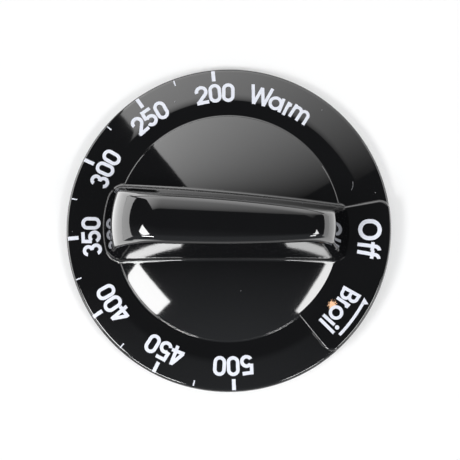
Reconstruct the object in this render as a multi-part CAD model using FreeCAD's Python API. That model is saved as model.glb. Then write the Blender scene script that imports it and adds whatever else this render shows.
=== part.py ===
"""Oven control knob: a glossy moulded dial with a finger bar, and the spring ring of its split hub.

The back rim lies on z = 0 and +Z looks out of the front. +X runs along the bar to its narrow,
pointing end, and Z is the axis of the oven's shaft.
"""
import FreeCAD, Part
import math
import os

V = FreeCAD.Vector

# Skirt: the round dial, level beside the dome and falling away to its rim
skirt_diameter = 70.0
shoulder_height = 4.4
skirt_land = 2.4
skirt_slope = 13.0
skirt_bend = 10.0
rim_round = 0.9
rim_bands = 3
rim_thickness = 2.2

# Dome in the middle of the skirt
dome_diameter = 49.6
dome_rise = 4.6

# Raised pad on the skirt, its sides in degrees from the pointing end of the bar
pad_start = -48.8
pad_end = 13.5
pad_lift = 0.3
pad_corner_round = 2.3
pad_edge_round = 0.7

# Finger bar: widths and reaches are those of its top before the crown and the roundings
bar_height = 20.0
bar_wide_width = 10.2
bar_narrow_width = 6.3
bar_wide_reach = 22.8
bar_narrow_reach = 21.8
bar_side_draft = 12.5
bar_wide_draft = 14.5
bar_narrow_draft = 12.0
bar_wide_plan_radius = 20.0
bar_narrow_plan_radius = 13.0
bar_wide_round = 9.0
bar_narrow_round = 6.0
bar_crown_radius = 12.4
bar_edge_round = 1.2

# Moulded walls behind the face
face_wall = 1.8
bar_wall = 1.8

# Hub, and its socket for a shaft with one flat
hub_diameter = 10.4
hub_setback = 0.8
shaft_diameter = 6.0
shaft_flat_height = 4.5
lead_in_clearance = 0.25
socket_clearance = 0.05
mouth_chamfer = 0.5
lead_in_length = 5.2
socket_depth = 13.5
socket_end_wall = 1.5
slit_width = 1.2
slit_depth = 7.0

# Spring ring in its groove round the split hub
ring_width = 3.2
ring_thickness = 0.8
ring_groove_depth = 0.5
ring_setback = 1.0
ring_clearance = 0.05
ring_gap = 40.0

# Ribs behind the skirt, clear of the split hub and its ring
rib_thickness = 1.4
rib_setback = 0.6
rib_hub_gap = 2.0
rib_angles = (60.0, 120.0, 240.0, 300.0)

skirt_radius = skirt_diameter / 2
dome_radius = dome_diameter / 2
hub_radius = hub_diameter / 2
shaft_radius = shaft_diameter / 2
dome_sphere = (dome_radius ** 2 + dome_rise ** 2) / (2 * dome_rise)
dome_centre = shoulder_height + dome_rise - dome_sphere
fold_radius = dome_radius + skirt_land
overshoot = 1.0
near = 1e-3


def tan(degrees):
    return math.tan(math.radians(degrees))


def cos(degrees):
    return math.cos(math.radians(degrees))


def polar(radius, degrees):
    turn = math.radians(degrees)
    return V(radius * math.cos(turn), radius * math.sin(turn), 0)


def from_axis(point):
    return math.hypot(point.x, point.y)


def middle_of(edge):
    return edge.valueAt((edge.FirstParameter + edge.LastParameter) / 2)


def dome_level(radius, depth=0.0):
    """Height of the dome at a radius, or of the surface a depth behind it."""
    return dome_centre + math.sqrt((dome_sphere - depth) ** 2 - radius ** 2)


def slope_level(radius, depth=0.0):
    """Height of the falling skirt at a radius, or of the surface a depth behind it."""
    return shoulder_height - (radius - fold_radius) * tan(skirt_slope) - depth / cos(skirt_slope)


def turned(edges, floor, radius):
    """Solid turned from a face line that runs from the axis out to a radius, down to a floor."""
    start = edges[0].firstVertex().Point
    end = edges[-1].lastVertex().Point
    closing = Part.makePolygon([end, V(radius, 0, floor), V(0, 0, floor), start])
    return Part.Face(Part.Wire(edges + closing.Edges)).revolve(V(0, 0, 0), V(0, 0, 1), 360)


def arc(start, middle, end):
    return Part.Arc(start, middle, end).toShape()


def on_dome(radius, depth=0.0):
    return V(radius, 0, dome_level(radius, depth))


def on_slope(radius, depth=0.0):
    return V(radius, 0, slope_level(radius, depth))


def rounded(before, corner, after, radius):
    """Arc in place of a corner of a section."""
    back = (before - corner).normalize()
    ahead = (after - corner).normalize()
    half = back.getAngle(ahead) / 2
    centre = corner + (back + ahead).normalize() * (radius / math.sin(half))
    middle = centre + (corner - centre).normalize() * radius
    reach = radius / math.tan(half)
    return arc(corner + back * reach, middle, corner + ahead * reach)


def dial():
    """Dome, level land and falling skirt, with a rounded rim."""
    rim = on_slope(skirt_radius)
    bend = rounded(on_dome(dome_radius), on_slope(fold_radius), rim, skirt_bend)
    edge = rounded(on_slope(fold_radius), rim, V(skirt_radius, 0, 0), rim_round)
    bands = Part.makePolygon(edge.discretize(rim_bands + 1)).Edges
    face = [
        arc(on_dome(0), on_dome(dome_radius / 2), on_dome(dome_radius)),
        Part.makeLine(on_dome(dome_radius), bend.firstVertex().Point),
        bend,
        Part.makeLine(bend.lastVertex().Point, edge.firstVertex().Point),
    ]
    return turned(face + bands, 0, skirt_radius)


def circle_edges(shape, radius, height):
    """Edges of a turned solid that lie on one circle."""
    return [edge for edge in shape.Edges
            if abs(middle_of(edge).z - height) < near
            and abs(from_axis(middle_of(edge)) - radius) < near
            and edge.BoundBox.ZLength < near]


def pad():
    """Sector of the skirt that stays level out to the rim, with rounded outer corners."""
    inner = dome_radius - overshoot
    centre = (pad_start + pad_end) / 2
    outline = Part.Wire([
        arc(polar(inner, pad_start), polar(inner, centre), polar(inner, pad_end)),
        Part.makeLine(polar(inner, pad_end), polar(skirt_radius, pad_end)),
        arc(polar(skirt_radius, pad_end), polar(skirt_radius, centre), polar(skirt_radius, pad_start)),
        Part.makeLine(polar(skirt_radius, pad_start), polar(inner, pad_start)),
    ])
    top = shoulder_height + pad_lift
    solid = Part.Face(outline).extrude(V(0, 0, top))
    corners = [edge for edge in solid.Edges
               if abs(middle_of(edge).z - top / 2) < near
               and abs(from_axis(middle_of(edge)) - skirt_radius) < near]
    solid = solid.makeFillet(pad_corner_round, corners)
    rim = [edge for edge in solid.Edges
           if edge.BoundBox.ZMin > top - near and from_axis(middle_of(edge)) > dome_radius]
    return solid.makeFillet(pad_edge_round, rim)


def block(lower, upper):
    """Solid with flat faces between two four-cornered sections."""
    sides = [[lower[i - 1], lower[i], upper[i], upper[i - 1]] for i in range(4)]
    faces = [Part.Face(Part.makePolygon(corners + corners[:1])) for corners in [lower[::-1], upper] + sides]
    return Part.makeSolid(Part.makeShell(faces))


def beyond_end(reach, draft, plan_radius, rounding, height):
    """Everything past one end of the bar: the space outside a drafted puck with a rolled top edge."""
    foot_radius = plan_radius + height * tan(draft)
    puck = Part.makeCone(foot_radius, plan_radius, height)
    puck = puck.makeFillet(rounding, circle_edges(puck, plan_radius, height))
    puck.translate(V(reach - plan_radius, 0, 0))
    length = skirt_diameter
    return Part.makeBox(length, 2 * length, height, V(reach - plan_radius, -length, 0)).cut(puck)


def above_crown(depth):
    """Everything over the crowned top of the bar, or over that of its core."""
    axis = bar_height - bar_crown_radius
    length = skirt_diameter
    crown = Part.makeCylinder(bar_crown_radius - depth, 2 * length, V(-length, 0, axis), V(1, 0, 0))
    return Part.makeBox(2 * length, 2 * length, bar_height, V(-length, -length, axis)).cut(crown)


def drawn_in(depth, draft):
    """How far a drafted wall's top moves in when the wall and the top both go a depth inwards."""
    return depth / cos(draft) - depth * tan(draft)


def bar(depth):
    """Finger bar with drafted sides, rolled ends and a crowned top, or the core a depth inside it."""
    height = bar_height - depth
    taper = (bar_wide_width - bar_narrow_width) / 2 / (bar_wide_reach + bar_narrow_reach)
    stock = skirt_radius

    def half_width(x, z):
        top = bar_wide_width / 2 - taper * (x + bar_wide_reach) - drawn_in(depth, bar_side_draft)
        return top + (height - z) * tan(bar_side_draft)

    def section(z):
        wide = half_width(-stock, z)
        narrow = half_width(stock, z)
        return [V(-stock, -wide, z), V(stock, -narrow, z), V(stock, narrow, z), V(-stock, wide, z)]

    narrow_waste = beyond_end(bar_narrow_reach - drawn_in(depth, bar_narrow_draft), bar_narrow_draft,
                              bar_narrow_plan_radius - depth, bar_narrow_round - depth, height)
    wide_waste = beyond_end(bar_wide_reach - drawn_in(depth, bar_wide_draft), bar_wide_draft,
                            bar_wide_plan_radius - depth, bar_wide_round - depth, height)
    wide_waste.rotate(V(0, 0, 0), V(0, 0, 1), 180)
    solid = block(section(0), section(height)).cut([narrow_waste, wide_waste, above_crown(depth)])
    if depth:
        return solid
    flanks = []
    for edge in solid.Edges:
        point = middle_of(edge)
        if point.z > near and abs(abs(point.y) - half_width(point.x, point.z)) < near:
            flanks.append(edge)
    return solid.makeFillet(bar_edge_round, flanks)


def hub():
    top = hub_setback + socket_depth + socket_end_wall
    return Part.makeCylinder(hub_radius, top - hub_setback, V(0, 0, hub_setback))


def ribs():
    """Upright webs from beside the hub out to the rim."""
    start = hub_radius + rib_hub_gap
    webs = []
    for angle in rib_angles:
        corner = V(start, -rib_thickness / 2, rib_setback)
        web = Part.makeBox(skirt_radius - start, rib_thickness, bar_height, corner)
        web.rotate(V(0, 0, 0), V(0, 0, 1), angle)
        webs.append(web)
    return webs


def hollow():
    """Space behind the face and inside the bar, with the hub and the ribs left standing in it."""
    inside = skirt_radius - rim_thickness
    level = on_dome(dome_radius / 2, face_wall)
    fold = V(fold_radius - face_wall * tan(skirt_slope / 2), 0, shoulder_height - face_wall)
    ceiling = Part.makePolygon([V(0, 0, level.z), level, on_dome(dome_radius, face_wall), fold,
                                on_slope(inside, face_wall)])
    back = turned(ceiling.Edges, -overshoot, inside)
    return back.fuse(bar(bar_wall)).cut([hub()] + ribs())


def socket():
    """Shaft socket: a chamfered mouth, a round lead-in and a bore with one flat."""
    lead_radius = shaft_radius + lead_in_clearance
    bore_radius = shaft_radius + socket_clearance
    flat = shaft_flat_height - shaft_radius + socket_clearance
    mouth = Part.makeCone(lead_radius + mouth_chamfer, lead_radius, mouth_chamfer, V(0, 0, hub_setback))
    lead_in = Part.makeCylinder(lead_radius, lead_in_length, V(0, 0, hub_setback))
    bore = Part.makeCylinder(bore_radius, socket_depth, V(0, 0, hub_setback))
    room = 2 * bore_radius
    bore = bore.cut(Part.makeBox(2 * room, room, bar_height, V(-room, -flat - room, 0)))
    return mouth.fuse([lead_in, bore])


def hub_slits():
    """Slits that let the two halves of the hub's mouth spring on the shaft."""
    reach = hub_radius + overshoot
    return Part.makeBox(2 * reach, slit_width, slit_depth, V(-reach, -slit_width / 2, hub_setback))


def tube(inner_radius, outer_radius, height, base):
    outer = Part.makeCylinder(outer_radius, height, V(0, 0, base))
    return outer.cut(Part.makeCylinder(inner_radius, height, V(0, 0, base)))


def ring_groove():
    width = ring_width + 2 * ring_clearance
    return tube(hub_radius - ring_groove_depth, hub_radius + overshoot, width, hub_setback + ring_setback)


def knob_body():
    """The one moulding: face, cored back, and the split hub with its socket."""
    face = dial().fuse([pad(), bar(0)]).removeSplitter()
    body = face.cut(hollow()).cut([socket(), hub_slits(), ring_groove()])
    return body.removeSplitter()


def hub_spring_ring():
    """Open band of spring steel that seats in the hub's groove, its gap away from the slits."""
    inner = hub_radius - ring_groove_depth + ring_clearance
    outer = inner + ring_thickness
    base = hub_setback + ring_setback + ring_clearance
    profile = Part.makePolygon([V(inner, 0, base), V(outer, 0, base), V(outer, 0, base + ring_width),
                                V(inner, 0, base + ring_width), V(inner, 0, base)])
    band = Part.Face(profile).revolve(V(0, 0, 0), V(0, 0, 1), 360 - ring_gap)
    band.rotate(V(0, 0, 0), V(0, 0, 1), 90 + ring_gap / 2)
    return band


os.makedirs("parts", exist_ok=True)
knob_body().exportStep("parts/knob_body.step")
hub_spring_ring().exportStep("parts/hub_spring_ring.step")
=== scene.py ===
import bpy
import math
from mathutils import Matrix, Vector


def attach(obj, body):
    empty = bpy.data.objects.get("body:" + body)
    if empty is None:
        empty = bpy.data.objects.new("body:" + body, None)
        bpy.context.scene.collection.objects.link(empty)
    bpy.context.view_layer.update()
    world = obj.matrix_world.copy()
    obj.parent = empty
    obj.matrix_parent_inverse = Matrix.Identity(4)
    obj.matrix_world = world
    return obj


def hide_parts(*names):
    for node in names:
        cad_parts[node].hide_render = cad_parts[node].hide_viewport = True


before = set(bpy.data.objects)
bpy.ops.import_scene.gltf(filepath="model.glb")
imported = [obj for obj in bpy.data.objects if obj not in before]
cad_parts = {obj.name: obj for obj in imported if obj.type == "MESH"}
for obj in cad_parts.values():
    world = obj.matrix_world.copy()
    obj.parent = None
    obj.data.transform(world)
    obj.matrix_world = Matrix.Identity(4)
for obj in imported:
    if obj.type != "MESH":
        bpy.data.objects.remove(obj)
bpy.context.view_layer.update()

# Dial: the round face of the knob, in black plastic that left a polished mould with all that stands on it.
# A shallow dome, with a small step round its foot, meets a skirt that is level beside it and falls away
# to a rounded rim. It is turned here from one section line.
mm = 0.001
skirt_radius = 35.0
shoulder = 4.4
skirt_land, skirt_slope, skirt_bend = 3.5, math.radians(13.0), 10.0
rim_round = 0.9
dome_radius, dome_rise = 24.8, 4.6
step_round, step_lean, crease_round = 0.3, math.radians(50.0), 0.5
dial_sides = 360
dome_ball = (dome_radius ** 2 + dome_rise ** 2) / (2 * dome_rise)
dome_heart = (0.0, shoulder + dome_rise - dome_ball)
step_reach = step_round + crease_round
step_height = shoulder + crease_round - step_reach * math.cos(step_lean)
dome_lean = math.acos((step_height - dome_heart[1]) / (dome_ball - step_round))
step_heart = ((dome_ball - step_round) * math.sin(dome_lean), step_height)
crease_heart = (step_heart[0] + step_reach * math.sin(step_lean), shoulder + crease_round)
skirt_fold = dome_radius + skirt_land
bend_heart = (skirt_fold - skirt_bend * math.tan(skirt_slope / 2), shoulder - skirt_bend)


def slope_height(radius):
    return shoulder - (radius - skirt_fold) * math.tan(skirt_slope)


rim_heart = (skirt_radius - rim_round,
             slope_height(skirt_radius - rim_round) - rim_round / math.cos(skirt_slope))


def deselect():
    bpy.ops.object.select_all(action="DESELECT")


def first_point(name, place):
    """New piece with one point, in edit mode, ready to be drawn on."""
    deselect()
    bpy.ops.mesh.primitive_plane_add(size=mm)
    piece = bpy.context.object
    piece.name = name
    bpy.ops.object.mode_set(mode="EDIT")
    bpy.ops.mesh.select_mode(type="VERT")
    bpy.ops.mesh.select_all(action="SELECT")
    bpy.ops.mesh.merge(type="CENTER")
    bpy.ops.transform.translate(value=[c * mm for c in place])
    return piece


def run(step):
    bpy.ops.mesh.extrude_region_move(TRANSFORM_OT_translate={"value": [c * mm for c in step]})


def sweep(heart, axis, angle, steps):
    """Right-handed spin of what is selected; the operator counts its angle the other way."""
    bpy.ops.mesh.spin(steps=steps, angle=-angle, center=[c * mm for c in heart], axis=axis)


def close_up(merge=0.002):
    """Merges doubled points, turns the faces outwards and goes back to object mode."""
    bpy.ops.mesh.select_all(action="SELECT")
    bpy.ops.mesh.remove_doubles(threshold=merge * mm)
    bpy.ops.mesh.normals_make_consistent(inside=False)
    bpy.ops.object.mode_set(mode="OBJECT")


def section_bow(heart, start, end, steps):
    sweep((heart[0], 0, heart[1]), (0, 1, 0), end - start, steps)


dial = first_point("knob_moulding", (0, 0, shoulder + dome_rise))
section_bow(dome_heart, 0, dome_lean, 64)
section_bow(step_heart, dome_lean, step_lean, 6)
section_bow(crease_heart, step_lean - math.pi, -math.pi, 8)
run((bend_heart[0] - crease_heart[0], 0, 0))
section_bow(bend_heart, 0, skirt_slope, 12)
slope_run = rim_heart[0] - bend_heart[0] + (rim_round - skirt_bend) * math.sin(skirt_slope)
run((slope_run, 0, -slope_run * math.tan(skirt_slope)))
section_bow(rim_heart, skirt_slope, math.pi / 2, 12)
run((0, 0, -rim_heart[1]))
run((-skirt_radius, 0, 0))
bpy.ops.mesh.select_all(action="SELECT")
sweep((0, 0, 0), (0, 0, 1), 2 * math.pi, dial_sides)
close_up()


def dial_height(radius):
    """Height of the dial's face at a distance from the shaft axis."""
    if radius < dome_radius:
        return dome_heart[1] + math.sqrt(dome_ball ** 2 - radius ** 2)
    if radius < bend_heart[0]:
        return shoulder
    if radius < bend_heart[0] + skirt_bend * math.sin(skirt_slope):
        return bend_heart[1] + math.sqrt(skirt_bend ** 2 - (radius - bend_heart[0]) ** 2)
    return slope_height(radius)


# Raised pad: a sector of the skirt that stays level out to the rim and carries the two words
# beside the bar's pointing end. It is moulded with the dial, with round corners and edges.
pad_start, pad_end = math.radians(-48.8), math.radians(13.5)
pad_foot, pad_top = 0.8, 4.7
pad_inner, pad_reach = 23.0, skirt_radius - 0.03
pad_corner = 2.3
pad_edge = 0.7


def polar(radius, angle, height=0.0):
    return (radius * math.cos(angle), radius * math.sin(angle), height)


def between(a, b):
    return [q - p for p, q in zip(a, b)]


corner_ring = pad_reach - pad_corner
corner_turn = math.asin(pad_corner / corner_ring)
side_end = corner_ring * math.cos(corner_turn)
pad = first_point("pad_tool", polar(pad_inner, pad_start, pad_foot))
run(between(polar(pad_inner, pad_start), polar(side_end, pad_start)))
sweep(polar(corner_ring, pad_start + corner_turn), (0, 0, 1), math.pi / 2 + corner_turn, 14)
sweep((0, 0, 0), (0, 0, 1), pad_end - pad_start - 2 * corner_turn, 72)
sweep(polar(corner_ring, pad_end - corner_turn), (0, 0, 1), math.pi / 2 + corner_turn, 14)
run(between(polar(side_end, pad_end), polar(pad_inner, pad_end)))
sweep((0, 0, 0), (0, 0, 1), pad_start - pad_end, 48)
bpy.ops.mesh.select_all(action="SELECT")
bpy.ops.mesh.remove_doubles(threshold=0.002 * mm)
bpy.ops.mesh.edge_face_add()
run((0, 0, pad_top - pad_foot))
close_up()


def pick(piece, chosen, kind="EDGE"):
    """Selects the edges or faces of a piece whose middle the chooser accepts, in edit mode."""
    bpy.ops.object.mode_set(mode="EDIT")
    bpy.ops.mesh.select_mode(type=kind)
    bpy.ops.mesh.select_all(action="DESELECT")
    bpy.ops.object.mode_set(mode="OBJECT")
    mesh = piece.data
    for item in (mesh.edges if kind == "EDGE" else mesh.polygons):
        spots = [mesh.vertices[i].co / mm for i in item.vertices]
        item.select = chosen(spots)
    bpy.ops.object.mode_set(mode="EDIT")


def from_axis(spot):
    return math.hypot(spot.x, spot.y)


pick(pad, lambda spots: all(s.z > pad_top - 0.01 for s in spots)
     and not all(from_axis(s) < pad_inner + 0.01 for s in spots))
bpy.ops.mesh.bevel(offset=pad_edge * mm, segments=8, profile=0.5, affect="EDGES", clamp_overlap=False)
bpy.ops.object.mode_set(mode="OBJECT")
pick(pad, lambda spots: all(s.z > pad_top - 0.001 for s in spots), "FACE")
bpy.ops.mesh.inset(thickness=0.04 * mm)
close_up()

# Finger bar: the tapered grip across the dome, moulded in one with it. Its sides are drafted, its top
# is crowned and rolls over at both ends, every edge is eased, and it grows out of the dome in a small
# hollow rounding. The skin is worked out point by point, then lofted and joined to the dial.
bar_top = 20.0
crown_radius = 18.0
wide_end, narrow_end = -22.8, 21.6
wide_half, narrow_half = 5.1, 3.15
side_swell, side_span = 0.8, 22.0
wide_bow, narrow_bow = 17.0, 13.0
wide_corner, narrow_corner = 3.6, 1.8
side_draft, wide_draft, narrow_draft = math.radians(12.5), math.radians(14.5), math.radians(16.0)
wide_roll, narrow_roll = 10.8, 6.6
bar_edge, corner_edge = 1.2, 0.5
crisp_start, crisp_reach = 1.8, 4.2
side_root, wide_root, narrow_root = 0.7, 0.35, 0.35
roll_foot, crown_fade = 8.0, 2.5
wall_step, wall_rows, root_rows = 0.2, 61, 11
tuck = ((0.08, 0.03), (0.12, 0.5), (0.12, 3.0))
core_share = 0.72
taper = (wide_half - narrow_half) / (narrow_end - wide_end)
side_bow = side_span ** 2 / (2 * side_swell)
side_out = side_swell / 2 - side_bow
side_heart = ((wide_end + narrow_end) / 2 + side_out * taper / math.hypot(taper, 1),
              (wide_half + narrow_half) / 2 + side_out / math.hypot(taper, 1))
narrow_heart = narrow_end - narrow_bow
wide_heart = wide_end + wide_bow
samples = {"end": 26, "corner": 18, "side": 110, "skin": 84}


def spaced(first, last, count):
    return [first + (last - first) * i / count for i in range(count)]


def meeting(c1, r1, c2, r2):
    """Both crossing points of two circles, the left one first."""
    dx, dy = c2[0] - c1[0], c2[1] - c1[1]
    gap = math.hypot(dx, dy)
    along = (r1 ** 2 - r2 ** 2 + gap ** 2) / (2 * gap)
    off = math.sqrt(r1 ** 2 - along ** 2)
    return sorted((c1[0] + along * dx / gap - s * off * dy / gap,
                   c1[1] + along * dy / gap + s * off * dx / gap) for s in (1, -1))


def half_loop(side, wide, narrow, wide_turn, narrow_turn):
    """Plan points from the pointing end round one side to the wide end, and how far each point
    belongs to the narrow end, to the wide end or, with neither, to the side."""
    (nh, nb), (wh, wb) = (narrow_heart, narrow_bow + narrow), (wide_heart, wide_bow + wide)
    nk = meeting((nh, 0), nb - narrow_turn, side_heart, side_bow + side - narrow_turn)[1]
    wk = meeting((wh, 0), wb - wide_turn, side_heart, side_bow + side - wide_turn)[0]
    n_side = math.atan2(nk[1] - side_heart[1], nk[0] - side_heart[0])
    w_side = math.atan2(wk[1] - side_heart[1], wk[0] - side_heart[0])
    n_turn = math.atan2(nk[1], nk[0] - nh)
    w_turn = math.atan2(wk[1], wk[0] - wh)
    loop = []
    for a in spaced(0, n_turn, samples["end"]):
        loop.append((nh + nb * math.cos(a), nb * math.sin(a), 1.0, 0.0))
    for i, a in enumerate(spaced(n_turn, n_side, samples["corner"])):
        f = 1 - i / samples["corner"]
        loop.append((nk[0] + narrow_turn * math.cos(a), nk[1] + narrow_turn * math.sin(a), f, 0.0))
    for a in spaced(n_side, w_side, samples["side"]):
        loop.append((side_heart[0] + (side_bow + side) * math.cos(a),
                     side_heart[1] + (side_bow + side) * math.sin(a), 0.0, 0.0))
    for i, a in enumerate(spaced(w_side, w_turn, samples["corner"])):
        f = i / samples["corner"]
        loop.append((wk[0] + wide_turn * math.cos(a), wk[1] + wide_turn * math.sin(a), 0.0, f))
    for a in spaced(w_turn, math.pi, samples["end"]):
        loop.append((wh + wb * math.cos(a), wb * math.sin(a), 0.0, 1.0))
    loop.append((wh - wb, 0.0, 0.0, 1.0))
    return loop


def soft(f):
    return f * f * (3 - 2 * f)


def shared(point, side, wide, narrow):
    """A value that changes smoothly from the side's to the ends' round the corners."""
    return side + (wide - side) * soft(point[3]) + (narrow - side) * soft(point[2])


def wall_loop(depth):
    """Loop of the drafted walls a depth below the bar's top, with corners that open out downwards."""
    lower = max(depth - roll_foot, 0) / (bar_top - shoulder - roll_foot)
    return half_loop(*[depth * math.tan(draft) for draft in (side_draft, wide_draft, narrow_draft)],
                     corner_edge + lower * (wide_corner - corner_edge),
                     corner_edge + lower * (narrow_corner - corner_edge))


def end_gap(x, y, z, heart, bow, draft, roll):
    """Distance outside one rolled end: level top, roll and drafted wall, turned about the end's axis."""
    along = math.hypot(x - heart, y)
    fade = min(max((z - bar_top + roll_foot) / (roll_foot - crown_fade), 0), 1)
    z += fade * (crown_radius - math.sqrt(crown_radius ** 2 - y * y))
    heel = bow - roll * (1 - math.sin(draft)) / math.cos(draft)
    wall = (along - bow) * math.cos(draft) - (bar_top - z) * math.sin(draft)
    over, out = z - (bar_top - roll), along - heel
    if out < 0 or abs(x) < abs(heart):
        return z - bar_top
    if over * math.cos(draft) < out * math.sin(draft):
        return wall
    return math.hypot(over, out) - roll


def bar_gap(x, y, z):
    """Distance outside the bar, with eased edges that get crisper down the rolled ends."""
    if x > 0:
        skin = end_gap(x, y, z, narrow_heart, narrow_bow, narrow_draft, narrow_roll)
    else:
        skin = end_gap(x, y, z, wide_heart, wide_bow, wide_draft, wide_roll)
    reach = math.hypot(x - side_heart[0], abs(y) - side_heart[1])
    flank = (reach - side_bow - (bar_top - z) * math.tan(side_draft)) * math.cos(side_draft)
    crisp = soft(min(max((bar_top - z - crisp_start) / crisp_reach, 0), 1))
    edge = bar_edge + crisp * (corner_edge - bar_edge)
    return min(-edge, max(skin, flank)) + math.hypot(max(edge + skin, 0), max(edge + flank, 0))


def skin_point(core, aim, rise):
    """Point of the bar's skin on a ray from its core, turned up from level by an angle."""
    reach = math.hypot(aim[0] - core[0], aim[1] - core[1])
    level = math.cos(rise) / reach
    ray = [(aim[0] - core[0]) * level, (aim[1] - core[1]) * level, math.sin(rise)]
    near_by, far_off = 2.0, 16.0
    for _ in range(24):
        middle = (near_by + far_off) / 2
        if bar_gap(*[c + middle * r for c, r in zip(core, ray)]) < 0:
            near_by = middle
        else:
            far_off = middle
    return tuple(c + middle * r for c, r in zip(core, ray))


depths = [roll_foot + wall_step * i for i in range(wall_rows)]
walls = [wall_loop(d) for d in depths]
belt = wall_loop(roll_foot)
upper = [(x, y, bar_top - roll_foot) for x, y, _, _ in belt]
foot = []
for j in range(len(upper)):
    for k in range(len(depths) - 1):
        above = bar_top - depths[k] - dial_height(math.hypot(*walls[k][j][:2]))
        below = bar_top - depths[k + 1] - dial_height(math.hypot(*walls[k + 1][j][:2]))
        if above >= 0 > below:
            f = above / (above - below)
            x, y = [walls[k][j][c] + f * (walls[k + 1][j][c] - walls[k][j][c]) for c in (0, 1)]
            foot.append((x, y, dial_height(math.hypot(x, y))))
            break
last = len(foot) - 1
root_loops = [[] for _ in range(root_rows + len(tuck))]
for j, (x, y, z) in enumerate(foot):
    ax, ay = foot[max(j - 1, 0)][:2]
    bx, by = foot[min(j + 1, last)][:2]
    if j == 0:
        ax, ay = bx, -by
    if j == last:
        bx, by = ax, -ay
    length = math.hypot(bx - ax, by - ay)
    ox, oy = (by - ay) / length, -(bx - ax) / length
    mark = walls[0][j]
    draft = shared(mark, side_draft, wide_draft, narrow_draft)
    root_round = shared(mark, side_root, wide_root, narrow_root)
    ahead = dial_height(math.hypot(x + 0.5 * ox, y + 0.5 * oy))
    fall = math.atan2(z - ahead, 0.5)
    opening = math.pi / 2 + draft + fall
    reach = root_round / math.tan(opening / 2)
    heart_out = -reach * math.sin(draft) + root_round * math.cos(draft)
    heart_up = reach * math.cos(draft) + root_round * math.sin(draft)
    turn = math.pi - opening
    for i in range(root_rows):
        a = math.pi + draft + turn * i / (root_rows - 1)
        out = heart_out + root_round * math.cos(a)
        up = heart_up + root_round * math.sin(a)
        px, py = x + out * ox, y + out * oy
        if i == root_rows - 1:
            up = dial_height(math.hypot(px, py)) - z
        root_loops[i].append((px, py, z + up))
    out = reach * math.cos(fall)
    for i, (further, sink) in enumerate(tuck):
        px, py = x + (out + further) * ox, y + (out + further) * oy
        root_loops[root_rows + i].append((px, py, dial_height(math.hypot(px, py)) - sink))

bar_loops = []
for rise in spaced(math.pi / 2, 0, samples["skin"]):
    bar_loops.append([skin_point((core_share * x, 0.0, z), (x, y), rise) for x, y, z in upper])
for f in (0, 0.25, 0.5, 0.75, 0.97):
    bar_loops.append([tuple(a + f * (b - a) for a, b in zip(p, q)) for p, q in zip(upper, root_loops[0])])
bar_loops += root_loops


def loft(name, half_loops):
    """Closed piece from half loops that a mirror across the bar's length makes whole."""
    count = len(half_loops[0])
    round_count = 2 * count - 2
    points = []
    for loop in half_loops:
        whole = list(loop) + [(x, -y, z) for x, y, z in loop[-2:0:-1]]
        points += [[c * mm for c in p] for p in whole]
    faces = []
    for k in range(len(half_loops) - 1):
        for j in range(round_count):
            n = (j + 1) % round_count
            faces.append((k * round_count + j, (k + 1) * round_count + j,
                          (k + 1) * round_count + n, k * round_count + n))
    for base, order in ((0, 1), ((len(half_loops) - 1) * round_count, -1)):
        for j in range(count - 1):
            face = [base + j, base + j + 1, base + (round_count - j - 1) % round_count,
                    base + (round_count - j) % round_count]
            face = list(dict.fromkeys(face))
            faces.append(face[::order])
    mesh = bpy.data.meshes.new(name)
    mesh.from_pydata(points, [], faces)
    piece = bpy.data.objects.new(name, mesh)
    bpy.context.collection.objects.link(piece)
    deselect()
    piece.select_set(True)
    bpy.context.view_layer.objects.active = piece
    bpy.ops.object.mode_set(mode="EDIT")
    close_up(0.0005)
    return piece


bar = loft("bar_tool", bar_loops)


def combine(piece, tool, operation):
    """Joins a tool to a piece or cuts it out, and takes the tool away."""
    deselect()
    piece.select_set(True)
    bpy.context.view_layer.objects.active = piece
    change = piece.modifiers.new("combine", "BOOLEAN")
    change.operation = operation
    change.solver = "EXACT"
    change.object = tool
    bpy.ops.object.modifier_apply(modifier="combine")
    bpy.data.objects.remove(tool)


combine(dial, pad, "UNION")
combine(dial, bar, "UNION")

# Back of the moulding: cored out to an even wall, with a hub for the oven's shaft, slits that let
# the hub's mouth spring, a groove for its spring ring and four ribs that stiffen the skirt.
face_wall = 1.8
rim_wall = 2.2
hub_radius, hub_foot, hub_top = 5.2, 0.8, 15.8
rib_width, rib_foot, rib_start = 1.4, 0.6, 7.2
lead_radius, lead_depth, bore_radius, bore_depth, bore_flat = 3.25, 5.2, 3.05, 13.5, 1.55
mouth_chamfer = 0.5
slit_width, slit_depth = 1.2, 7.0
groove_depth, groove_start, groove_width = 0.5, 1.8, 3.3
inside = skirt_radius - rim_wall
land_inside, rim_inside, below = 27.0, 1.25, -1.0


def under_dome(radius):
    return dome_heart[1] + math.sqrt((dome_ball - face_wall) ** 2 - radius ** 2)


hollow = first_point("hollow_tool", (0, 0, under_dome(dome_radius / 2)))
section = [(dome_radius / 2, under_dome(dome_radius / 2)), (dome_radius, under_dome(dome_radius)),
           (land_inside, shoulder - face_wall), (inside, rim_inside), (inside, below), (0.0, below)]
here = (0.0, under_dome(dome_radius / 2))
for radius, height in section:
    run((radius - here[0], 0, height - here[1]))
    here = (radius, height)
bpy.ops.mesh.select_all(action="SELECT")
sweep((0, 0, 0), (0, 0, 1), 2 * math.pi, 128)
close_up()

core_top = bar_top - face_wall
core_rows = [core_top - 0.02] + [core_top - 0.3 * i for i in range(1, 24)]


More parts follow.
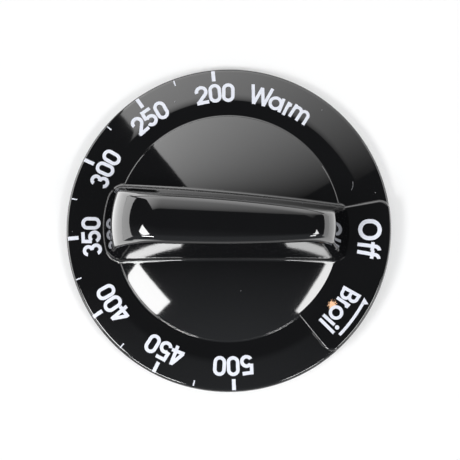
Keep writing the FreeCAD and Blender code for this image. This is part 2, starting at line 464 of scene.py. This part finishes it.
def core_loop(height):
    """Loop of the bar's hollow at a height, a wall's thickness inside the skin."""
    depth = core_top - height
    offsets = []
    for draft, roll in ((side_draft, 0.0), (wide_draft, wide_roll), (narrow_draft, narrow_roll)):
        drawn = face_wall / math.cos(draft) - face_wall * math.tan(draft)
        bend = max(roll - face_wall, 0.0)
        if depth < bend * (1 - math.sin(draft)):
            heel = bend * (1 - math.sin(draft)) / math.cos(draft)
            offsets.append(math.sqrt(bend ** 2 - (bend - depth) ** 2) - heel - drawn)
        else:
            offsets.append(depth * math.tan(draft) - drawn)
    return [(x, y, height) for x, y, _, _ in half_loop(*offsets, 0.3, 0.3)]


combine(hollow, loft("core_tool", [core_loop(h) for h in core_rows + [below]]), "UNION")


def post(name, radius, foot, top, sides=96, mouth=None):
    """Round post, or a cone when the mouth radius is given, between two heights."""
    deselect()
    bpy.ops.mesh.primitive_cone_add(vertices=sides, radius1=(mouth or radius) * mm, radius2=radius * mm,
                                    depth=(top - foot) * mm, location=(0, 0, (top + foot) / 2 * mm))
    piece = bpy.context.object
    piece.name = name
    bpy.ops.object.transform_apply(location=True, rotation=True, scale=True)
    return piece


def slab(name, low, high, turn=0.0):
    """Straight-sided block between two corners, turned about the shaft axis."""
    deselect()
    bpy.ops.mesh.primitive_cube_add(size=1)
    piece = bpy.context.object
    piece.name = name
    piece.scale = [(h - l) * mm for l, h in zip(low, high)]
    piece.location = [(h + l) / 2 * mm for l, h in zip(low, high)]
    bpy.ops.object.transform_apply(location=True, rotation=True, scale=True)
    piece.rotation_euler = (0, 0, turn)
    bpy.ops.object.transform_apply(location=True, rotation=True, scale=True)
    return piece


combine(hollow, post("hub_tool", hub_radius, hub_foot, hub_top), "DIFFERENCE")
for degrees in (60, 120, 240, 300):
    rib = slab("rib_tool", (rib_start, -rib_width / 2, rib_foot), (skirt_radius, rib_width / 2, bar_top),
               math.radians(degrees))
    combine(hollow, rib, "DIFFERENCE")
combine(dial, hollow, "DIFFERENCE")

bore = post("bore_tool", bore_radius, hub_foot - 0.5, hub_foot + bore_depth)
combine(bore, slab("flat_tool", (-4, -8, -2), (4, -bore_flat, 20)), "DIFFERENCE")
combine(bore, post("lead_tool", lead_radius, hub_foot - 0.6, hub_foot + lead_depth), "UNION")
combine(bore, post("mouth_tool", lead_radius, hub_foot - 0.2, hub_foot + mouth_chamfer,
                   mouth=lead_radius + mouth_chamfer + 0.2), "UNION")
combine(bore, slab("slit_tool", (-6, -slit_width / 2, hub_foot - 0.7),
                   (6, slit_width / 2, hub_foot + slit_depth)), "UNION")
combine(dial, bore, "DIFFERENCE")
groove = post("groove_tool", hub_radius + 1, groove_start, groove_start + groove_width)
combine(groove, post("groove_heart", hub_radius - groove_depth, 0, 20), "DIFFERENCE")
combine(dial, groove, "DIFFERENCE")


def sweep_clean(piece):
    """Takes out the slivers and loose bits that joining and cutting leave behind."""
    deselect()
    piece.select_set(True)
    bpy.context.view_layer.objects.active = piece
    bpy.ops.object.mode_set(mode="EDIT")
    bpy.ops.mesh.select_mode(type="VERT")
    bpy.ops.mesh.select_all(action="SELECT")
    bpy.ops.mesh.remove_doubles(threshold=0.001 * mm)
    bpy.ops.mesh.dissolve_degenerate(threshold=0.001 * mm)
    bpy.ops.mesh.delete_loose(use_verts=True, use_edges=True, use_faces=True)
    bpy.ops.mesh.select_all(action="SELECT")
    bpy.ops.mesh.normals_make_consistent(inside=False)
    bpy.ops.object.mode_set(mode="OBJECT")


sweep_clean(dial)
bpy.ops.object.shade_smooth_by_angle(angle=math.radians(28))

# Surface of the moulding: polished black plastic with the faint ripple that such mouldings have. On it lie
# thin dust, a few larger specks, a hairline scratch and one peach-coloured fleck under the print.
black = bpy.data.materials.new("black_gloss_moulding")
black.use_nodes = True
shine = black.node_tree.nodes["Principled BSDF"]
specks = [((31.2, 9.2, 3.25), 0.2), ((19.0, 26.7, 3.2), 0.2), ((-12.85, 27.05, 3.95), 0.18)]
fleck_middle, fleck_size, fleck_ragged = (23.0, -15.55, 4.7), 0.8, 1.3
scratch_middle, scratch_heart, scratch_bow = (26.3, 10.3, 4.35), (23.9, 10.6, 4.35), 2.45
scratch_reach, scratch_half_width = 1.0, 0.055
dust_size, dust_rarity = 0.042, 0.80


def feed(material, node, inputs):
    """Sets a node's inputs to plain values, or joins them to the outputs given."""
    for name, value in inputs.items():
        if isinstance(value, bpy.types.NodeSocket):
            material.node_tree.links.new(value, node.inputs[name])
        else:
            node.inputs[name].default_value = value


def add(material, kind, inputs, operation=None):
    """New shader node with its inputs; gives back its outputs."""
    node = material.node_tree.nodes.new("ShaderNode" + kind)
    if operation:
        node.operation = operation
    feed(material, node, inputs)
    return node.outputs


def graded(material, factor, low, high):
    """A value that runs from low to high with a factor from 0 to 1."""
    return add(material, "Math", {0: factor, 1: high - low, 2: low}, "MULTIPLY_ADD")[0]


def tinted(material, factor, first, second):
    """A colour between two, by a factor from 0 to 1."""
    node = material.node_tree.nodes.new("ShaderNodeMix")
    node.data_type = "RGBA"
    feed(material, node, {0: factor, 6: first, 7: second})
    return node.outputs[2]


def under(material, value, limit):
    return add(material, "Math", {0: value, 1: limit}, "LESS_THAN")[0]


def either(material, first, second):
    return add(material, "Math", {0: first, 1: second}, "MAXIMUM")[0]


def both(material, first, second):
    return add(material, "Math", {0: first, 1: second}, "MULTIPLY")[0]


def away(material, place, spot):
    """Distance of the shaded place from a spot given in millimetres."""
    return add(material, "VectorMath", {0: place, 1: [c * mm for c in spot]}, "DISTANCE")["Value"]


place = add(black, "TexCoord", {})["Object"]
cloud = add(black, "TexNoise", {"Vector": place, "Scale": 90.0, "Detail": 4.0})[0]
ripple = add(black, "TexNoise", {"Vector": place, "Scale": 260.0, "Detail": 1.0})[0]
grit = add(black, "TexNoise", {"Vector": place, "Scale": 4200.0, "Detail": 3.0})[0]
cells = add(black, "TexVoronoi", {"Vector": place, "Scale": 520.0})
rare = add(black, "Math", {0: cells["Color"], 1: dust_rarity}, "GREATER_THAN")[0]
dust = both(black, under(black, cells["Distance"], dust_size), rare)
for spot, size in specks:
    dust = either(black, dust, under(black, away(black, place, spot), size * mm))
ragged = graded(black, grit, -fleck_ragged * mm, fleck_ragged * mm)
fleck_edge = add(black, "Math", {0: away(black, place, fleck_middle), 1: ragged}, "ADD")[0]
flecks = under(black, fleck_edge, fleck_size * mm)
off_bow = add(black, "Math", {0: away(black, place, scratch_heart), 1: scratch_bow * mm}, "SUBTRACT")[0]
hairline = under(black, add(black, "Math", {0: off_bow}, "ABSOLUTE")[0], scratch_half_width * mm)
scratched = under(black, away(black, place, scratch_middle), scratch_reach * mm)
dust = either(black, dust, both(black, hairline, scratched))
marked = either(black, dust, flecks)
body_tint = tinted(black, cloud, (0.0032, 0.0032, 0.0036, 1), (0.0048, 0.0048, 0.0054, 1))
dusty_tint = tinted(black, dust, body_tint, (0.16, 0.16, 0.17, 1))
fleck_tint = tinted(black, grit, (0.86, 0.40, 0.16, 1), (0.95, 0.66, 0.44, 1))
swell = add(black, "Bump", {"Strength": 0.12, "Distance": 0.00004, "Height": ripple})[0]
polish = either(black, graded(black, cloud, 0.02, 0.075), both(black, marked, 0.6))
feed(black, shine, {"Base Color": tinted(black, flecks, dusty_tint, fleck_tint), "Roughness": polish,
                    "IOR": 1.6, "Normal": swell})
dial.data.materials.clear()
dial.data.materials.append(black)
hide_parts("knob_body")
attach(dial, "root")

# Printed scale: numerals, words, ticks and an arrow in off-white ink, pad-printed in one thin coat
# on the finished moulding. Each sign is drawn once with a broad nib on a level sheet above the dial,
# its copies are set round the scale, and the whole print is then laid down on the curved face.
unit = 0.2146
sheet = 12.0
numeral_pen, word_pen, capital_pen, small_pen = 3.5, 3.25, 4.1, 3.6
bow_step, bow_run, line_run = 11, 0.6, 0.3
ink_thickness, ink_sink = 0.035, 0.010


def pen(start, heading, width, moves):
    """Draws one stroke with a flat nib, in artwork units. A move is the length of a straight line,
    or the radius and the turn in degrees of a bow, clockwise when the turn is positive."""
    x, y = [c * unit for c in start]
    facing = math.radians(heading)
    half = width * unit / 2
    stroke = first_point("stroke", (x - half * math.sin(facing), y + half * math.cos(facing), sheet - 1))
    run((2 * half * math.sin(facing), -2 * half * math.cos(facing), 0))
    bpy.ops.mesh.select_all(action="SELECT")
    for move in moves:
        if isinstance(move, tuple):
            radius, turn = move
            side = math.copysign(radius * unit, turn)
            heart = (x + side * math.sin(facing), y - side * math.cos(facing))
            parts = math.ceil(abs(turn) * max(1 / bow_step, math.radians(radius * unit) / bow_run))
            sweep((*heart, sheet - 1), (0, 0, 1), -math.radians(turn), parts)
            facing -= math.radians(turn)
            x, y = heart[0] - side * math.sin(facing), heart[1] + side * math.cos(facing)
        else:
            parts = math.ceil(abs(move) * unit / line_run)
            step = (move * unit / parts * math.cos(facing), move * unit / parts * math.sin(facing), 0)
            for _ in range(parts):
                run(step)
            x, y = x + step[0] * parts, y + step[1] * parts
    bpy.ops.mesh.select_all(action="SELECT")
    bpy.ops.mesh.remove_doubles(threshold=0.002 * mm)
    run((0, 0, 1))
    close_up()
    return stroke


def sign(width, *strokes):
    """A sign of one or more strokes, joined, as a level sheet of faces. A stroke may have its own nib."""
    drawn = [pen(start, heading, *(nib or [width]), moves) for start, heading, moves, *nib in strokes]
    for extra in drawn[1:]:
        combine(drawn[0], extra, "UNION")
    pick(drawn[0], lambda spots: all(s.z > sheet - 0.1 for s in spots), "FACE")
    bpy.ops.mesh.select_all(action="INVERT")
    bpy.ops.mesh.delete(type="FACE")
    bpy.ops.object.mode_set(mode="OBJECT")
    return drawn[0]


def line(a, b):
    """A straight stroke from one point to another."""
    return a, math.degrees(math.atan2(b[1] - a[1], b[0] - a[0])), [math.dist(a, b)]


def on_bow(heart, radius, angle):
    x, y, _ = polar(radius, math.radians(angle))
    return heart[0] + x, heart[1] + y


signs = {
    "0": sign(numeral_pen, ((-4.6, 6.5), 90, [7, (4.6, 180), 7, (4.6, 180)])),
    "2": sign(numeral_pen, (on_bow((0, 13.3), 4.7, 190), 100, [(4.7, 234.5), 11.4]),
              line((-6.2, 1.9), (6.2, 1.9))),
    "3": sign(numeral_pen, (on_bow((0, 14.15), 3.95, 165), 75, [(3.95, 255)]),
              (on_bow((0, 6.05), 4.15, 90), 0, [(4.15, 255)])),
    "4": sign(numeral_pen, line((2.4, 0), (2.4, 20)), line((-6.6, 5.4), (6.6, 5.4)),
              line((-5.4, 5.6), (2.0, 18.6))),
    "5": sign(numeral_pen, line((-5.2, 18.1), (5.2, 18.1)), ((-3.9, 19.9), -95, [10.5]),
              (on_bow((-0.3, 6.5), 4.6, 140), 50, [(4.6, 300)])),
    "W": sign(word_pen, line((-10.2, 20), (-5, 0)), line((-5, 0), (0, 18.5)), line((0, 18.5), (5, 0)),
              line((5, 0), (10.2, 20))),
    "a": sign(word_pen, ((-6.6, 7.5), 90, [(5.6, 360)]), line((5.2, 0), (5.2, 15))),
    "r": sign(word_pen, line((-2.5, 0), (-2.5, 15)), ((-2.5, 9), 90, [(4.2, 80)])),
    "m": sign(word_pen, line((-8, 0), (-8, 15)), ((-8, 9.1), 90, [(4, 180), 9.1]),
              ((0, 9.1), 90, [(4, 180), 9.1])),
    "O": sign(capital_pen, ((-8.5, 10.8), 90, [2.5, (8.5, 180), 2.5, (8.5, 180)])),
    "f": sign(small_pen, ((0, 0), 90, [18.2, (4.2, 80)]), line((-4, 15.2), (4.5, 15.2))),
    "B": sign(word_pen, line((-4.2, 0), (-4.2, 20)), ((-4.2, 18.1), 0, [4, (3.95, 180), 4]),
              ((-4.2, 10.2), 0, [4.6, (4.15, 180), 4.6])),
    "o": sign(word_pen, ((-5.6, 7.5), 90, [(5.6, 360)])),
    "i": sign(word_pen, line((0, 0), (0, 15)), ((-1.1, 18.6), 90, [(1.1, 360)], 2.2)),
    "l": sign(word_pen, line((0, 0), (0, 20))),
}
sign_middle = {"a": 7.5, "r": 7.5, "m": 7.5, "o": 7.5, "O": 12.0, "f": 12.0}
long_foot, long_width, long_length = 32.3, 0.8, 2.35
short_foot, short_width, short_length = 33.3, 0.28, 1.2
tick_long = sign(long_width / unit, line((0, 0), (0, long_length / unit)))
tick_short = sign(short_width / unit, line((0, 0), (0, short_length / unit)))
settled = []


def settle(piece, radius, degrees):
    """A copy of a sign at its place on the scale, its foot at a radius and its top to the rim."""
    copy = piece.copy()
    copy.data = piece.data.copy()
    bpy.context.collection.objects.link(copy)
    angle = math.radians(degrees)
    copy.location = (radius * mm * math.cos(angle), radius * mm * math.sin(angle), 0)
    copy.rotation_euler = (0, 0, angle - math.pi / 2)
    settled.append(copy)


numeral_ring, numeral_pitch = 29.56, 5.6
for text, degrees in (("200", 98.3), ("250", 127.75), ("300", 156.8), ("350", 186.1), ("400", 215.9),
                      ("450", 245.2), ("500", 274.75)):
    settle(tick_long, long_foot, degrees)
    for letter, shift in zip(text, (numeral_pitch, 0, -numeral_pitch)):
        settle(signs[letter], numeral_ring - 10 * unit, degrees + shift)
for degrees in (112.9, 142.3, 171.6, 201.2, 230.5, 260.2):
    settle(tick_short, short_foot, degrees)
for letter, degrees, ring in (("W", 79.05, 29.7), ("a", 71.6, 29.02), ("r", 65.85, 28.87),
                              ("m", 60.6, 29.12),
                              ("O", 1.9, 30.36), ("f", -4.6, 30.48), ("f", -7.8, 30.66),
                              ("B", -26.6, 29.75), ("r", -31.2, 29.25), ("o", -35.6, 29.33),
                              ("i", -39.9, 29.7), ("l", -42.3, 29.76)):
    settle(signs[letter], ring - sign_middle.get(letter, 10.0) * unit, degrees)
for piece in list(signs.values()) + [tick_long, tick_short]:
    bpy.data.objects.remove(piece)

arrow_ring, arrow_start, arrow_end = 33.0, -41.4, -26.5
arrow_pen, barb_reach = 0.64, 0.82
shaft_turn = arrow_end - arrow_start
shaft = sign(arrow_pen / unit, (tuple(c / unit for c in polar(arrow_ring, math.radians(arrow_start))[:2]),
                                arrow_start + 90, [(arrow_ring / unit, -shaft_turn)]))
settled.append(shaft)
head_tip = polar(arrow_ring - arrow_pen / 2, math.radians(arrow_end + 1.9), sheet)
head_barb = polar(arrow_ring + arrow_pen / 2 + barb_reach, math.radians(arrow_end + 0.45), sheet)
head_heel = polar(arrow_ring + arrow_pen / 2, math.radians(arrow_end - 0.4), sheet)
head_foot = polar(arrow_ring - arrow_pen / 2, math.radians(arrow_end - 0.02), sheet)
head = first_point("arrow_head", head_foot)
run(between(head_foot, head_tip))
run(between(head_tip, head_barb))
run(between(head_barb, head_heel))
bpy.ops.mesh.select_all(action="SELECT")
bpy.ops.mesh.edge_face_add()
bpy.ops.mesh.subdivide(number_cuts=3)
close_up()
settled.append(head)

deselect()
for piece in settled:
    piece.select_set(True)
dial_print = settled[0]
bpy.context.view_layer.objects.active = dial_print
bpy.ops.object.transform_apply(location=True, rotation=True, scale=True)
bpy.ops.object.join()
dial_print.name = "dial_print"
sweep_clean(dial_print)
laid = dial_print.modifiers.new("laid", "SHRINKWRAP")
laid.wrap_method = "PROJECT"
laid.target = dial
laid.use_project_z = True
laid.use_negative_direction = True
laid.use_positive_direction = False
laid.offset = -ink_sink * mm
bpy.ops.object.modifier_apply(modifier="laid")
coat = dial_print.modifiers.new("coat", "SOLIDIFY")
coat.thickness = ink_thickness * mm
coat.offset = 1.0
bpy.ops.object.modifier_apply(modifier="coat")
bpy.ops.object.shade_smooth_by_angle(angle=math.radians(28))

ink = bpy.data.materials.new("off_white_ink")
ink.use_nodes = True
ink_shader = ink.node_tree.nodes["Principled BSDF"]
place = add(ink, "TexCoord", {})["Object"]
mottle = add(ink, "TexNoise", {"Vector": place, "Scale": 1400.0, "Detail": 3.0})[0]
tooth = add(ink, "TexNoise", {"Vector": place, "Scale": 6000.0, "Detail": 2.0})[0]
coarse = add(ink, "Bump", {"Strength": 0.2, "Distance": 0.00003, "Height": tooth})[0]
feed(ink, ink_shader, {"Base Color": tinted(ink, mottle, (0.70, 0.72, 0.80, 1), (0.80, 0.82, 0.89, 1)),
                       "Roughness": graded(ink, mottle, 0.35, 0.55), "Normal": coarse})
dial_print.data.materials.clear()
dial_print.data.materials.append(ink)
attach(dial_print, "root")

# Spring ring: an open ring of bright spring steel strip round the hub's mouth, rolled to size and
# snapped into the groove. Its shape comes with the frame; it gets a fine grain along its length here.
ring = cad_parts["hub_spring_ring"]
steel = bpy.data.materials.new("spring_steel_strip")
steel.use_nodes = True
place = add(steel, "TexCoord", {})["Object"]
streaks = add(steel, "VectorMath", {0: place, 1: (60.0, 60.0, 5200.0)}, "MULTIPLY")[0]
grain = add(steel, "TexNoise", {"Vector": streaks, "Scale": 1.0, "Detail": 5.0})[0]
stain = add(steel, "TexNoise", {"Vector": place, "Scale": 420.0, "Detail": 3.0})[0]
bright = tinted(steel, grain, (0.50, 0.51, 0.52, 1), (0.66, 0.67, 0.68, 1))
worn = tinted(steel, graded(steel, stain, 0.0, 0.5), bright, (0.44, 0.41, 0.37, 1))
drawn_lines = add(steel, "Bump", {"Strength": 0.25, "Distance": 0.00002, "Height": grain})[0]
feed(steel, steel.node_tree.nodes["Principled BSDF"],
     {"Base Color": worn, "Metallic": 1.0, "Roughness": graded(steel, grain, 0.22, 0.42),
      "Normal": drawn_lines})
ring.data.materials.clear()
ring.data.materials.append(steel)

# Table: a plain sheet of matt white paper that the knob lies on. It is lit so strongly that it comes out
# nearly white, so part of what the camera and the gloss see of it is a glow of its own.
deselect()
bpy.ops.mesh.primitive_plane_add(size=3, location=(0, 0, 0))
table = bpy.context.object
table.name = "table"
paper = bpy.data.materials.new("white_table")
paper.use_nodes = True
paper_nodes = paper.node_tree.nodes
feed(paper, paper_nodes["Principled BSDF"], {"Base Color": (0.93, 0.93, 0.93, 1), "Roughness": 0.9})
glow = add(paper, "Emission", {"Strength": 1.0})[0]
seen = add(paper, "LightPath", {})
mirrored = either(paper, seen["Is Glossy Ray"], seen["Is Transmission Ray"])
shown = add(paper, "Math", {0: seen["Is Camera Ray"], 1: 0.35, 2: mirrored}, "MULTIPLY_ADD")[0]
surface = add(paper, "MixShader", {0: shown, 1: paper_nodes["Principled BSDF"].outputs[0], 2: glow})[0]
feed(paper, paper_nodes["Material Output"], {"Surface": surface})
table.data.materials.append(paper)

# Room and lamps: a dim bluish room, a little lighter in front, with a soft box high up on either side and
# a ceiling light. White cards stand left and right and lie beside the knob; only its gloss shows them.
world = bpy.data.worlds.new("room")
bpy.context.scene.world = world
world.use_nodes = True
facing = add(world, "SeparateXYZ", {0: add(world, "TexCoord", {})["Generated"]})
front = add(world, "MapRange", {0: facing["Y"], 1: -0.12, 2: -0.6, 3: 0.08, 4: 0.36})[0]
feed(world, world.node_tree.nodes["Background"], {"Color": (0.9, 0.95, 1.0, 1), "Strength": front})


def soft_box(name, middle, turn, size, radiance):
    """Rectangular studio light at a place in metres, turned by three angles in degrees."""
    lamp = bpy.data.lights.new(name, "AREA")
    lamp.shape = "RECTANGLE"
    lamp.size, lamp.size_y = size
    lamp.energy = radiance * math.pi * size[0] * size[1]
    holder = bpy.data.objects.new(name, lamp)
    bpy.context.collection.objects.link(holder)
    holder.location = middle
    holder.rotation_euler = [math.radians(a) for a in turn]
    return holder


soft_box("left_box", (-1.55, -0.996, 2.0), (0, 0, 45), (1.0, 0.84), 18)
soft_box("right_box", (1.69, -0.81, 2.0), (0, 0, 59.6), (1.0, 0.84), 15)
soft_box("ceiling_fill", (0, 0, 3.0), (0, 0, 0), (3.0, 3.0), 1.2).visible_glossy = False
cards = [soft_box("left_wall", (-2.2, 0.2, 0.42), (90, 0, -90), (3.6, 0.82), 4.5),
         soft_box("right_wall", (2.2, 0.2, 0.42), (90, 0, 90), (3.6, 0.82), 2.7),
         soft_box("left_sheet", (-1.0985, 0, 0.002), (180, 0, 0), (2.123, 1.0), 4.5),
         soft_box("right_sheet", (1.0985, 0, 0.002), (180, 0, 0), (2.123, 1.0), 2.4),
         soft_box("left_card", (-1.52, -2.66, 2.0), (0, 0, 0), (1.38, 0.5), 55),
         soft_box("right_card", (1.70, -2.66, 2.0), (0, 0, 0), (1.05, 0.5), 36)]
for card in cards:
    card.visible_diffuse = card.visible_camera = False

# Back panel: a broad upright sheet of diffuser behind the dial, lit from behind. It is brightest low down
# on its left and makes the grey sheen on the dome and on the bar.
panel_middle, panel_size, panel_light = (0.54, 2.0, 3.2), (4.52, 5.9), 4.7
deselect()
bpy.ops.mesh.primitive_plane_add(size=1, location=panel_middle, rotation=(math.pi / 2, 0, 0))
panel = bpy.context.object
panel.name = "back_panel"
panel.scale = (*panel_size, 1)
panel.visible_diffuse = False
diffuser = bpy.data.materials.new("diffuser")
diffuser.use_nodes = True
spread = add(diffuser, "SeparateXYZ", {0: add(diffuser, "TexCoord", {})["Object"]})
sideways = graded(diffuser, spread["X"], 0.654, -0.431)
upwards = graded(diffuser, spread["Y"], 0.638, -0.306)
power = both(diffuser, both(diffuser, sideways, upwards), panel_light)
feed(diffuser, diffuser.node_tree.nodes["Material Output"],
     {"Surface": add(diffuser, "Emission", {"Strength": power})[0]})
panel.data.materials.append(diffuser)

# Camera: on a stand above the dial, a little to the front of it and turned slightly about its own axis,
# with a long lens.
view_distance = 0.420
tilt = (0.0274, -0.1079, 1.0)
image_turn = 0.0475
picture_px, focal_px = 460, 1936.41
middle_px = (228.65, 230.38)
sensor_width = 36.0
back = Vector(tilt).normalized()
up0 = Vector((-math.sin(image_turn), math.cos(image_turn), 0))
right = up0.cross(back).normalized()
up = back.cross(right)
lens = bpy.data.cameras.new("camera")
camera = bpy.data.objects.new("camera", lens)
bpy.context.collection.objects.link(camera)
turn = Matrix((right, up, back)).transposed()
camera.matrix_world = Matrix.Translation(back * view_distance) @ turn.to_4x4()
lens.sensor_fit = "HORIZONTAL"
lens.sensor_width = sensor_width
lens.lens = focal_px / picture_px * sensor_width
lens.shift_x = (picture_px / 2 - middle_px[0]) / picture_px
lens.shift_y = (middle_px[1] - picture_px / 2) / picture_px
bpy.context.scene.camera = camera
bpy.context.scene.view_settings.view_transform = "Standard"
